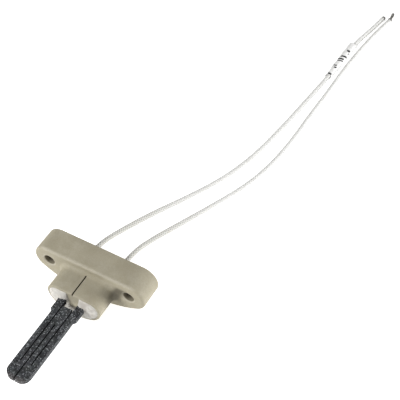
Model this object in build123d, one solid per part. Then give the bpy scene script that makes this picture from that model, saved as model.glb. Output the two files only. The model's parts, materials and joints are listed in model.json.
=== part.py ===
from build123d import *
import os
from math import pi, radians, sqrt, tan

# Hot-surface ignition electrode: a slotted silicon-carbide heating element
# cemented into a ceramic holder, with two braided leads behind it.
# Millimetres, +Z up. The holder's long side lies along X, the element points
# to -Y and the leads run to +Y. Z = 0 is the surface that it all lies on.
# "left" is the -X side and "right" is the +X side.

# ---- ceramic holder: flange ----
hole_spacing = 38.1        # between the two fixing holes
hole_diameter = 5.0
hole_mouth = 0.4           # chamfer at both mouths of a fixing hole
flange_length = 52.8
flange_thickness = 12.0
flange_above_hole = 6.9    # flat top edge, above the hole axis
flange_below_hole = 12.6   # lowest point of the curved bottom edge
flange_end_radius = 7.0    # upper round of each end
flange_lower_radius = 6.8  # lower round of each end, before the curved bottom
flange_edge_round = 1.1

# ---- ceramic holder: boss in front of the flange ----
boss_projection = 11.3
boss_width = 25.2
boss_top_step = 4.1        # boss's flat top, below the flange's
boss_bottom_step = 0.6     # boss's lowest point, above the flange's
boss_shoulder_radius = 5.2
boss_lower_radius = 8.4
boss_edge_round = 0.6
boss_root_fillet = 2.0     # hollow round where the boss meets the flange
slit_width = 0.6           # narrow saw cut along the top of the boss
slit_depth = 1.2
slit_flange_gap = 0.9      # the cut stops this far from the flange

# ---- ceramic holder: pocket, cavities and lead bores ----
pocket_wall = 1.0
pocket_depth = 7.0
divider_gap = 0.1          # from the web between the legs to each leg
divider_slope = 0.133      # the web widens this much each side per mm upwards
divider_drop = 9.0         # from the boss's top face to the web's foot
divider_setback = 0.3      # the web stands this far behind the boss's face
cavity_side_gap = 0.5      # from a leg's inner side to its cavity's wall
cavity_outer_gap = 0.3     # from the lead bore's side to its cavity's wall
cavity_height_gap = 1.0    # above and below the terminal clip
rear_wall = 4.0            # ceramic left behind the cavities
lead_bore = 5.0

# ---- heating element ----
element_drop = 2.8         # its middle plane, below the hole axis
element_thickness = 2.4
element_width = 10.2
element_reach = 40.1       # from the boss's face to the tip
element_tip_radius = 3.6
slot_width = 0.55
slot_pitch = 2.45
outer_slot_end = 7.6       # left solid between an outer slot and the tip
middle_slot_start = 12.6   # from the boss's face to the middle slot
tongue_gap = 3.8           # from the boss's face to the free middle tongue
foot_extra = 0.9           # each leg's foot is this much wider outside
foot_end = 6.9             # where the foot ends, in front of the boss's face
foot_slope = 1.2
leg_grip = 3.8             # how far the legs reach behind the pocket's floor

# ---- cement ----
cement_bulge = 1.7         # how far the front cement stands out of the boss
cement_margin = 1.3        # slope between the pocket's rim and the bulge
cement_gap = 0.02          # between cement and what it holds

# ---- terminals ----
contact_thickness = 0.1    # sprayed metal layer on each leg's end
contact_setback = 0.1      # from the pocket's floor to that layer
clip_sheet = 0.6
clip_setback = 0.4         # from the pocket's floor to a clip
clip_clearance = 0.03
tail_clearance = 0.15      # a tail is this much narrower than would just fit its sleeve
sleeve_gap = 0.4           # from a clip's back to its crimp sleeve
sleeve_fit = 0.05          # round the conductor
sleeve_wall = 0.45
sleeve_length = 4.4
sleeve_overlap = 1.8       # tail or conductor inside the crimp sleeve

# ---- leads ----
lead_spacing = 14.8        # between the two leads where they leave the holder
left_stub = 6.0            # how far each lead runs straight out of the holder
right_stub = 8.9
conductor_diameter = 1.2
wrap_thickness = 0.3
braid_thickness = 0.3
wrap_gap = 0.1             # from the crimp sleeve to the wrap
wrap_recess = 0.2          # the wrap ends this far inside the braid
layer_gap = 0.02           # between two layers of a lead
strip_back = 0.6           # conductor that shows at the left lead's cut end

# ---- label round the left lead ----
label_length = 28.0
label_wall = 0.15
label_slack = 0.1          # above and below the braid
label_fold = 0.55          # at each side of the braid

# ---- places worked out from the sizes ----
hole_z = flange_below_hole
boss_above_hole = flange_above_hole - boss_top_step
boss_below_hole = flange_below_hole - boss_bottom_step
depth_ahead = boss_projection + element_reach
seat_y = (depth_ahead - flange_thickness) / 2      # flange's front, seating face
back_y = seat_y + flange_thickness
face_y = seat_y - boss_projection                  # boss's front face
tip_y = face_y - element_reach
pocket_floor_y = face_y + pocket_depth
cavity_end_y = back_y - rear_wall
leg_end_y = pocket_floor_y + leg_grip
boss_top_z = hole_z + boss_above_hole
element_z = hole_z - element_drop
leg_inner = slot_pitch + slot_width / 2
leg_outer = element_width / 2 + foot_extra
lead_x = lead_spacing / 2
clip_back_y = leg_end_y + contact_thickness + clip_clearance + clip_sheet
sleeve_y = clip_back_y + sleeve_gap
conductor_y = sleeve_y + sleeve_length - sleeve_overlap
wrap_y = sleeve_y + sleeve_length + wrap_gap
braid_y = cavity_end_y
wrap_diameter = conductor_diameter + 2 * wrap_thickness
braid_diameter = wrap_diameter + 2 * braid_thickness
sleeve_bore = conductor_diameter + 2 * sleeve_fit
sleeve_diameter = sleeve_bore + 2 * sleeve_wall
tail_width = sqrt(sleeve_bore**2 - clip_sheet**2) - tail_clearance
label_width = braid_diameter + 2 * (label_wall + label_fold)
label_height = braid_diameter + 2 * (label_wall + label_slack)
lie = braid_diameter / 2           # middle of a braid that lies on the surface
in_label = label_height / 2        # and inside the label

# Routes of the two leads. Each leaves the holder straight, drops to the surface
# behind it and runs along that.
LEFT_ROUTE = [
    (-lead_x, back_y + left_stub, element_z),
    (-6.8, 54.8, lie),
    (0.2, 69.4, lie),
    (9.6, 86.0, lie),
    (18.4, 104.0, lie),
    (23.7, 122.5, lie),
    (26.4, 140.5, lie),
    (28.4, 158.0, lie),
    (29.8, 172.0, lie),
    (31.5, 187.0, in_label),
    (33.3, 217.0, in_label),
    (36.5, 232.0, lie),
    (38.6, 244.5, lie),
]
RIGHT_ROUTE = [
    (lead_x, back_y + right_stub, element_z),
    (7.6, 57.2, lie),
    (13.8, 70.2, lie),
    (21.6, 87.0, lie),
    (29.4, 105.2, lie),
    (33.2, 121.8, lie),
    (34.9, 139.8, lie),
    (35.1, 158.6, lie),
    (36.0, 175.6, lie),
    (36.2, 193.4, lie),
    (37.3, 210.6, lie),
    (39.1, 226.6, lie),
    (40.6, 236.0, lie),
    (42.5, 244.8, lie),
    (41.4, 249.6, lie),
]
LABEL_RUN = (9, 10)        # points of the left route that the label lies between
BARE_POINTS = 1            # last points of the right route that only bare wire reaches


def holder_outline(half, above, below, shoulder, lower):
    """Face with a flat top, two arcs at each end and one long arc below, about the hole axis.

    The lower end arc and the bottom arc meet in one tangent, which sets the bottom radius.
    """
    end_z = above - shoulder
    depth = below + end_z
    bottom_radius = ((half - lower)**2 + depth**2 - lower**2) / (2 * (depth - lower))
    bottom_centre = bottom_radius - below
    reach = bottom_radius / (bottom_radius - lower)
    joint_x = (half - lower) * reach
    joint_z = bottom_centre + (end_z - bottom_centre) * reach
    with BuildSketch(Plane.XZ) as sketch:
        with BuildLine():
            Line((-half + shoulder, above), (half - shoulder, above))
            RadiusArc((half - shoulder, above), (half, end_z), shoulder)
            RadiusArc((half, end_z), (joint_x, joint_z), lower)
            RadiusArc((joint_x, joint_z), (-joint_x, joint_z), bottom_radius)
            RadiusArc((-joint_x, joint_z), (-half, end_z), lower)
            RadiusArc((-half, end_z), (-half + shoulder, above), shoulder)
        make_face()
    return sketch.sketch


def slab(face, front, back):
    """A face drawn about the hole axis, carried from y = front to y = back."""
    solid = extrude(face, amount=back - front, dir=(0, 1, 0))
    return Pos(0, front, hole_z) * solid


def block(x0, x1, y0, y1, z0, z1):
    """A plain box between two corners."""
    box = Box(abs(x1 - x0), y1 - y0, z1 - z0)
    return Pos((x0 + x1) / 2, (y0 + y1) / 2, (z0 + z1) / 2) * box


def rod(x, z, y0, y1, diameter):
    """A round bar along Y."""
    bar = Cylinder(diameter / 2, y1 - y0)
    return Pos(x, (y0 + y1) / 2, z) * Rot(90, 0, 0) * bar


def edges_at(shape, y):
    """Edges of a shape that lie wholly in the plane y."""
    return [e for e in shape.edges()
            if max(abs((e @ t).Y - y) for t in (0, 0.5, 1)) < 1e-4]


def divider(front, back):
    """The tapered web that hangs from the boss's top wall between the legs."""
    foot = boss_above_hole - divider_drop
    leg_top = element_thickness / 2 - element_drop
    waist = leg_inner - divider_gap
    top_half = waist + divider_slope * (boss_above_hole - leg_top)
    foot_half = waist - divider_slope * (leg_top - foot)
    with BuildSketch(Plane.XZ) as sketch:
        with BuildLine():
            Polyline((-top_half, boss_above_hole), (top_half, boss_above_hole),
                     (foot_half, foot), (-foot_half, foot), close=True)
        make_face()
    return slab(sketch.sketch, front, back)


def boss_outline(inset=0.0):
    """The boss's outline, or one that lies inset inside it."""
    return holder_outline(boss_width / 2 - inset, boss_above_hole - inset, boss_below_hole - inset,
                          boss_shoulder_radius - inset, boss_lower_radius - inset)


def root_edge(edge):
    """True for the top and end edges between boss and flange, not the bottom ones."""
    middle, top = edge @ 0.5, edge.bounding_box().max.Z
    inside = abs(middle.X) < boss_width / 2 + 0.01 and top < boss_top_z + 0.01
    return inside and middle.Z > hole_z - boss_below_hole / 2


def ceramic_block():
    flange = slab(holder_outline(flange_length / 2, flange_above_hole, flange_below_hole,
                                 flange_end_radius, flange_lower_radius), seat_y, back_y)
    flange = fillet(edges_at(flange, seat_y) + edges_at(flange, back_y), flange_edge_round)
    boss = slab(boss_outline(), face_y, seat_y + 1)
    boss = fillet(edges_at(boss, face_y), boss_edge_round)
    body = flange + boss
    body = fillet([e for e in edges_at(body, seat_y) if root_edge(e)], boss_root_fillet)
    cavity_half = element_thickness / 2 + clip_sheet + cavity_height_gap
    for side in (-1, 1):
        x = side * hole_spacing / 2
        body -= rod(x, hole_z, seat_y - 1, back_y + 1, hole_diameter)
        for y, turn in ((seat_y, 90), (back_y, -90)):
            mouth = Cone(hole_diameter / 2 + hole_mouth, hole_diameter / 2, hole_mouth,
                         align=(Align.CENTER, Align.CENTER, Align.MIN))
            body -= Pos(x, y, hole_z) * Rot(-turn, 0, 0) * mouth
        inner = side * (leg_inner - cavity_side_gap)
        outer = side * (lead_x + lead_bore / 2 + cavity_outer_gap)
        body -= block(inner, outer, pocket_floor_y - 0.01, cavity_end_y,
                      element_z - cavity_half, element_z + cavity_half)
        body -= rod(side * lead_x, element_z, cavity_end_y - 0.01, back_y + 1, lead_bore)
    pocket = slab(boss_outline(pocket_wall), face_y - 1, pocket_floor_y)
    body -= pocket - divider(face_y + divider_setback, pocket_floor_y)
    body -= block(-slit_width / 2, slit_width / 2, face_y - 1, seat_y - slit_flange_gap,
                  boss_top_z - slit_depth, boss_top_z + 1)
    return body


def heating_element():
    half = element_width / 2
    blade = block(-half, half, tip_y, leg_end_y,
                  element_z - element_thickness / 2, element_z + element_thickness / 2)
    corners = [e for e in blade.edges().filter_by(Axis.Z) if e.center().Y < tip_y + 0.01]
    blade = fillet(corners, element_tip_radius)
    with BuildSketch(Plane.XY) as feet:
        for side in (-1, 1):
            with BuildLine():
                Polyline((side * half, face_y - foot_end - foot_slope),
                         (side * leg_outer, face_y - foot_end),
                         (side * leg_outer, leg_end_y),
                         (side * leg_inner, leg_end_y),
                         (side * leg_inner, face_y - foot_end - foot_slope), close=True)
            make_face()
    feet_solid = extrude(feet.sketch, amount=element_thickness)
    blade += Pos(0, 0, element_z - element_thickness / 2) * feet_solid
    low, high = element_z - element_thickness, element_z + element_thickness
    for x in (-slot_pitch, slot_pitch):
        blade -= block(x - slot_width / 2, x + slot_width / 2,
                       tip_y + outer_slot_end, leg_end_y + 1, low, high)
    blade -= block(-slot_width / 2, slot_width / 2, tip_y - 1, face_y - middle_slot_start, low, high)
    blade -= block(-leg_inner, leg_inner, face_y - tongue_gap, leg_end_y + 1, low, high)
    return blade


def leg_bar(side, extra, front, back):
    """The bar of one leg, grown by extra on its four long sides."""
    return block(side * (leg_inner - extra), side * (leg_outer + extra), front, back,
                 element_z - element_thickness / 2 - extra,
                 element_z + element_thickness / 2 + extra)


def front_cement():
    bulge_front = face_y - cement_bulge
    fill = slab(boss_outline(pocket_wall), face_y, pocket_floor_y)
    bulge = loft([Pos(0, bulge_front, hole_z) * boss_outline(pocket_wall + cement_margin),
                  Pos(0, face_y, hole_z) * boss_outline(pocket_wall)])
    cement = fill + bulge - divider(bulge_front - 1, pocket_floor_y + 1)
    for side in (-1, 1):
        cement -= leg_bar(side, cement_gap, bulge_front - 1, pocket_floor_y + 1)
    return cement


def rear_cement(side):
    plug = rod(side * lead_x, element_z, cavity_end_y, back_y, lead_bore)
    return plug - rod(side * lead_x, element_z, cavity_end_y - 1, back_y + 1,
                      braid_diameter + 2 * cement_gap)


def contact_layer(side):
    front = pocket_floor_y + contact_setback
    outer = leg_bar(side, contact_thickness, front, leg_end_y + contact_thickness)
    return outer - leg_bar(side, 0, front - 1, leg_end_y)


def terminal_clip(side):
    """Strip folded over the leg's end, with a tail that goes into the crimp sleeve."""
    gap = contact_thickness + clip_clearance
    inner_front = pocket_floor_y + clip_setback
    half = element_thickness / 2 + gap
    clip = block(side * leg_inner, side * leg_outer, inner_front, clip_back_y,
                 element_z - half - clip_sheet, element_z + half + clip_sheet)
    clip -= leg_bar(side, gap, inner_front - 1, leg_end_y + gap)
    tail_outer = lead_x + tail_width / 2
    clip += block(side * (leg_outer - clip_sheet), side * tail_outer,
                  clip_back_y - clip_sheet, clip_back_y,
                  element_z - clip_sheet / 2, element_z + clip_sheet / 2)
    clip += block(side * (tail_outer - tail_width), side * tail_outer,
                  clip_back_y - clip_sheet, sleeve_y + sleeve_overlap,
                  element_z - clip_sheet / 2, element_z + clip_sheet / 2)
    return clip


def crimp_sleeve(side):
    sleeve = rod(side * lead_x, element_z, sleeve_y, sleeve_y + sleeve_length, sleeve_diameter)
    return sleeve - rod(side * lead_x, element_z, sleeve_y - 1, sleeve_y + sleeve_length + 1,
                        sleeve_bore)


def corner_radii(points):
    """Radius of each corner's arc: 0.45 of its shorter run, over the tangent of half the turn."""
    radii = []
    for before, here, after in zip(points, points[1:], points[2:]):
        run_in, run_out = here - before, after - here
        turn = run_in.get_angle(run_out)
        radii.append(0.45 * min(run_in.length, run_out.length) / tan(radians(turn / 2)))
    return radii


def lead_path(side, start_y, route):
    """Straight runs joined by arcs, from y = start_y in the holder along the route."""
    points = [Vector(side * lead_x, braid_y, element_z)] + [Vector(*p) for p in route]
    radii = corner_radii(points)
    points[0] = Vector(side * lead_x, start_y, element_z)
    return FilletPolyline(*points, radius=radii), radii


def tube(path, outer, inner=0.0):
    """A round tube, or a solid bar, swept along a path."""
    start = Plane(origin=path @ 0, z_dir=path % 0)
    ring = Circle(outer / 2)
    if inner:
        ring -= Circle(inner / 2)
    return sweep(start * ring, path=path)


def short_of_end(route, amount):
    """The route with its last run made shorter by amount."""
    before, last = Vector(*route[-2]), Vector(*route[-1])
    return route[:-1] + [tuple(last - (last - before).normalized() * amount)]


def lead(side, name, route, covered):
    """Conductor, wrap and braid of one lead, the covers along the covered route."""
    parts = {}
    wrap_end = short_of_end(covered, wrap_recess)
    layers = (("conductor", conductor_y, route, conductor_diameter, 0.0),
              ("mica_wrap", wrap_y, wrap_end, wrap_diameter, conductor_diameter),
              ("lead_braid", braid_y, covered, braid_diameter, wrap_diameter))
    for layer, start_y, points, outer, inner in layers:
        path, radii = lead_path(side, start_y, points)
        bore = inner + 2 * layer_gap if inner else 0.0
        solid = tube(path, outer, bore)
        section = pi * (outer**2 - bore**2) / 4
        print(f"{name}_{layer}: length {path.length:.1f}, volume over section x length "
              f"{solid.volume / (section * path.length):.4f}, smallest radius {min(radii):.1f}")
        if layer == "lead_braid":
            print("   radii", " ".join(f"{r:.0f}" for r in radii))
        parts[f"{name}_{layer}"] = solid
    return parts


def wire_label():
    """Flattened paper sleeve round the straight stretch of the left lead."""
    start, end = (Vector(*LEFT_ROUTE[i]) for i in LABEL_RUN)
    along = (end - start).normalized()
    middle = (start + end) / 2
    first = middle - along * (label_length / 2)
    plane = Plane(origin=(first.X, first.Y, label_height / 2), x_dir=(along.Y, -along.X, 0), z_dir=along)
    outer = SlotOverall(label_width, label_height)
    inner = SlotOverall(label_width - 2 * label_wall, label_height - 2 * label_wall)
    return extrude(plane * (outer - inner), amount=label_length)


def build():
    left_covered = short_of_end(LEFT_ROUTE, strip_back)
    right_covered = RIGHT_ROUTE[:-BARE_POINTS]
    bare = Vector(*RIGHT_ROUTE[-1]) - Vector(*right_covered[-1])
    right_covered = short_of_end(right_covered, 0.45 * bare.length)
    parts = {
        "ceramic_block": ceramic_block(),
        "heating_element": heating_element(),
        "front_cement": front_cement(),
        "wire_label": wire_label(),
    }
    for side, name, route, covered in ((-1, "left", LEFT_ROUTE, left_covered),
                                       (1, "right", RIGHT_ROUTE, right_covered)):
        parts[f"{name}_rear_cement"] = rear_cement(side)
        parts[f"{name}_contact_layer"] = contact_layer(side)
        parts[f"{name}_terminal_clip"] = terminal_clip(side)
        parts[f"{name}_crimp_sleeve"] = crimp_sleeve(side)
        parts.update(lead(side, name, route, covered))
    return parts


os.makedirs("parts", exist_ok=True)
for node, shape in build().items():
    export_step(shape, f"parts/{node}.step")
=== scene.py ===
"""Looks of a hot-surface ignition electrode, built round its fixed CAD frame.

The ceramic holder, the heating element and the terminals keep their CAD shape and
get materials. The cement, the braided leads with their cores and the paper wrap
are new surfaces that stand in the places of the CAD solids.
"""
import json
from math import cos, pi, radians, sin

import bpy
import numpy as np
from bpy.props import FloatProperty, FloatVectorProperty, IntProperty, PointerProperty
from bpy.types import Operator, Panel, PropertyGroup
from mathutils import Matrix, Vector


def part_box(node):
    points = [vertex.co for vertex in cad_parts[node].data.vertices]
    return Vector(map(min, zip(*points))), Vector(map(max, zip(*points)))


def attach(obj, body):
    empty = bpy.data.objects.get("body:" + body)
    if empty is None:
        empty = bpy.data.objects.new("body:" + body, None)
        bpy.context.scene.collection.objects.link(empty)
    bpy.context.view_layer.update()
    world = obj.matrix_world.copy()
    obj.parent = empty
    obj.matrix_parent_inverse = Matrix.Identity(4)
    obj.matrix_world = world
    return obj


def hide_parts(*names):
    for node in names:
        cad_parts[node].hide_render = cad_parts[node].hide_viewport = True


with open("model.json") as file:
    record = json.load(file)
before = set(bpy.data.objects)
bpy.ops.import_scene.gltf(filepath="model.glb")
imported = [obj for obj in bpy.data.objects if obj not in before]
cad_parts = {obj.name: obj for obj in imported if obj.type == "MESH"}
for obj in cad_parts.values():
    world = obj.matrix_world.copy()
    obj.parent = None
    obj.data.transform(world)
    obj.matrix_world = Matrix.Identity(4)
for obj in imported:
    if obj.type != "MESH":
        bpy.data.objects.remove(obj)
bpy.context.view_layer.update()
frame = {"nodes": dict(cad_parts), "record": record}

bl_info = {
    "name": "Ignition electrode looks",
    "version": (1, 0, 0),
    "blender": (4, 5, 0),
    "location": "3D View > Sidebar > Igniter",
    "description": "Materials, cement, braided leads, paper wrap and stage",
    "category": "Object",
}

MM = 0.001
UP = (0.0, 0.0, 1.0)

# Routes of the two leads, the control points of their splines, in millimetres.
ROUTES = {"left": [
    (-7.4, 27.7, 9.8), (-7.4, 37.7, 9.8), (-6.8, 54.8, 1.12), (0.2, 69.4, 1.12),
    (9.6, 86.0, 1.12), (18.4, 104.0, 1.12), (23.7, 122.5, 1.12), (26.4, 140.5, 1.12),
    (28.4, 158.0, 1.12), (29.8, 172.0, 1.12), (31.5, 187.0, 1.35), (33.3, 217.0, 1.35),
    (36.5, 232.0, 1.12), (38.6, 244.5, 1.12),
], "right": [
    (7.4, 27.7, 9.8), (7.4, 40.6, 9.8), (7.6, 57.2, 1.12), (13.8, 70.2, 1.12),
    (21.6, 87.0, 1.12), (29.4, 105.2, 1.12), (33.2, 121.8, 1.12), (34.9, 139.8, 1.12),
    (35.1, 158.6, 1.12), (36.0, 175.6, 1.12), (36.2, 193.4, 1.12), (37.3, 210.6, 1.12),
    (39.1, 226.6, 1.12), (40.6, 236.0, 1.12), (42.5, 244.8, 1.12), (41.4, 249.6, 1.12),
]}


def low(node):
    """Lowest corner of a CAD node, in millimetres."""
    return np.array(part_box(node)[0]) / MM


def high(node):
    """Highest corner of a CAD node, in millimetres."""
    return np.array(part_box(node)[1]) / MM


HOLDER_LOW, HOLDER_HIGH = low("ceramic_block"), high("ceramic_block")
ELEMENT_LOW, ELEMENT_HIGH = low("heating_element"), high("heating_element")
FILL_LOW, FILL_HIGH = low("front_cement"), high("front_cement")
MOUNTS = {mount["name"]: mount for mount in frame["record"]["mounts"]}
HOLE_CENTRE = np.array(MOUNTS["fixing_holes"]["pos_m"]) / MM
HOLE_SPACING = MOUNTS["fixing_holes"]["dims"]["spacing_x_mm"]
HOLE_RADIUS = MOUNTS["fixing_holes"]["dims"]["hole_r_mm"]
BOSS_FACE_Y = float(HOLDER_LOW[1])
TIP_Y = float(ELEMENT_LOW[1])
SEAT_Y = float(HOLE_CENTRE[1])
BACK_Y = float(HOLDER_HIGH[1])

# Sizes of the new surfaces, in millimetres.
BRAID_RADIUS = 1.12        # over the yarns where the braid lies straight
BRAID_BORE = 0.84
TAPE_RADIUS, TAPE_BORE = 0.74, 0.64
TAPE_LAP = 0.06            # one layer of mica tape
TAPE_WIDTH = 3.0           # also the length of one of its turns
TAPE_MAP_RADIUS = 0.9      # sets how far the painted lap line leans
STRAND_RADIUS = 0.2
STRAND_COUNT = 7           # one in the middle and six round it
LABEL_ROUND = 9.0          # once round the paper wrap
LABEL_HALF_WIDE, LABEL_HALF_HIGH = 1.78, 1.36
PAPER_THICKNESS = 0.11
SLOT_PITCH = 2.45          # from the middle slot to an outer one
RIM_SHOULDER, RIM_LOWER = 4.2, 7.4    # arcs of the pocket's rim
WEB_TOP_HALF, WEB_FOOT_HALF = 3.12, 2.05
WEB_FOOT_Z = 6.38
LEG_INNER, LEG_OUTER = 2.725, 6.0
FLOOR_REACH, FLOOR_Z = 4000.0, -0.05

# Where the camera and the lights stand, in metres. A light has its place, its size and
# the setting that holds its power.
CAMERA_PLACE = (0.15277, -0.16117, 0.33970)
LIGHT_TARGET = (0.0, 0.06, 0.01)
LIGHTS = {
    "key_light": ((-0.45, -0.49, 0.51), 0.35, "key_power"),
    "side_light": ((0.55, 0.28, 0.11), 0.14, "side_power"),
    "top_light": ((-0.15, 0.15, 0.80), 0.90, "top_power"),
}


# Meshes

def new_piece(name, points, faces, smooth=True):
    """A mesh object at the origin from points in millimetres and an array of quads."""
    mesh = bpy.data.meshes.new(name)
    mesh.from_pydata((np.asarray(points).reshape(-1, 3) * MM).tolist(), [], faces)
    mesh.polygons.foreach_set("use_smooth", [smooth] * len(mesh.polygons))
    mesh.validate()
    mesh.update()
    piece = bpy.data.objects.new(name, mesh)
    bpy.context.scene.collection.objects.link(piece)
    return piece


def grid_faces(rows, columns, wrap_rows=False):
    """Quads between the points of a grid whose rows close on themselves, and whose last
    row may join its first."""
    number = np.arange(rows * columns).reshape(rows, columns)
    if wrap_rows:
        number = np.vstack([number, number[:1]])
    number = np.hstack([number, number[:, :1]])
    quads = [number[:-1, :-1], number[:-1, 1:], number[1:, 1:], number[1:, :-1]]
    return np.stack(quads, axis=-1).reshape(-1, 4)


def add_uv(piece, u, v):
    """A UV map that gives each grid point its own u and v, both in millimetres."""
    layer = piece.data.uv_layers.new(name="UVMap")
    corners = np.zeros(len(piece.data.loops), dtype=np.int32)
    piece.data.loops.foreach_get("vertex_index", corners)
    values = np.stack([np.ravel(u), np.ravel(v)], axis=-1)
    layer.data.foreach_set("uv", values[corners].ravel())


def unit(vectors):
    """Vectors, each scaled to a length of one."""
    return vectors / np.linalg.norm(vectors, axis=-1, keepdims=True)


def lumps(points, size, seed, waves=10):
    """Smooth random hills from -1 to 1: a sum of seeded waves that run every way in space."""
    random = np.random.default_rng(seed)
    ways = unit(random.normal(size=(waves, 3)))
    pitch = size * random.uniform(0.6, 1.6, waves)
    start = random.uniform(0, 2 * pi, waves)
    phases = np.asarray(points) @ (ways * (2 * pi / pitch)[:, None]).T + start
    return np.sin(phases).sum(axis=-1) / (0.6 * waves)


def spline_points(name, route):
    """Points of the smooth line that a lead follows: a NURBS spline of degree two that
    has the route's points as its control points and starts and ends on the outer two."""
    curve = bpy.data.curves.new(name, "CURVE")
    curve.dimensions = "3D"
    curve.resolution_u = 24
    spline = curve.splines.new("NURBS")
    spline.points.add(len(route) - 1)
    for point, place in zip(spline.points, route):
        point.co = [value * MM for value in place] + [1.0]
    spline.order_u = 3
    spline.use_endpoint_u = True
    holder = bpy.data.objects.new(name, curve)
    mesh = bpy.data.meshes.new_from_object(holder)
    points = np.zeros(len(mesh.vertices) * 3)
    mesh.vertices.foreach_get("co", points)
    bpy.data.objects.remove(holder)
    bpy.data.curves.remove(curve)
    bpy.data.meshes.remove(mesh)
    return points.reshape(-1, 3) / MM


def run_lengths(points):
    """Distance along a line of points from its start to each of them."""
    steps = np.linalg.norm(np.diff(points, axis=0), axis=1)
    return np.concatenate([[0.0], np.cumsum(steps)])


def measured(points, at, s):
    """Points at the distances s along a line whose own points lie at the distances at."""
    return np.stack([np.interp(s, at, axis) for axis in points.T], axis=-1)


class Path:
    """A smooth line with, at any distance along it, its place and two directions across it."""

    def __init__(self, points):
        self.points = points
        self.at = run_lengths(points)
        self.length = float(self.at[-1])

    def place(self, s):
        """The point at each distance s along the line."""
        return measured(self.points, self.at, s)

    def frames(self, s):
        """Place, sideways direction and upward direction at each distance s. The line is
        never upright, so sideways is the run's direction crossed with up."""
        reach = 0.6
        inside = np.clip(s, reach, self.length - reach)
        along = unit(self.place(inside + reach) - self.place(inside - reach))
        side = unit(np.cross(along, UP))
        before = np.clip(s, 0, self.length)
        place = self.place(before) + along * (s - before)[:, None]
        return place, side, np.cross(side, along)

    def part(self, start, end):
        """The line's own points from one distance to another, with both ends added."""
        inside = (self.at > start) & (self.at < end)
        ends = self.place(np.array([start, end]))
        return np.vstack([ends[:1], self.points[inside], ends[1:]])


def carried(path, s, angle, radius):
    """Points at an angle round the line and a radius from it, for every s and angle: the
    place at s, plus radius times the cosine sideways and the sine upwards."""
    place, side, up = path.frames(s)
    across = radius * np.cos(angle)
    rise = radius * np.sin(angle)
    return place[:, None] + across[..., None] * side[:, None] + rise[..., None] * up[:, None]


# Materials

def math_method(operation, reflected=False):
    """A method of Value that adds the Math node of one operation."""
    def method(self, *others):
        values = (self, *others)
        return self.recipe.math(operation, *(values[::-1] if reflected else values))
    return method


class Value:
    """A socket that can be used in sums: an operator adds its Math node to the tree."""

    def __init__(self, recipe, socket):
        self.recipe = recipe
        self.socket = socket

    __add__ = __radd__ = math_method("ADD")
    __mul__ = __rmul__ = math_method("MULTIPLY")
    __sub__ = math_method("SUBTRACT")
    __rsub__ = math_method("SUBTRACT", reflected=True)
    __truediv__ = math_method("DIVIDE")
    __pow__ = math_method("POWER")
    __abs__ = math_method("ABSOLUTE")


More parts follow.
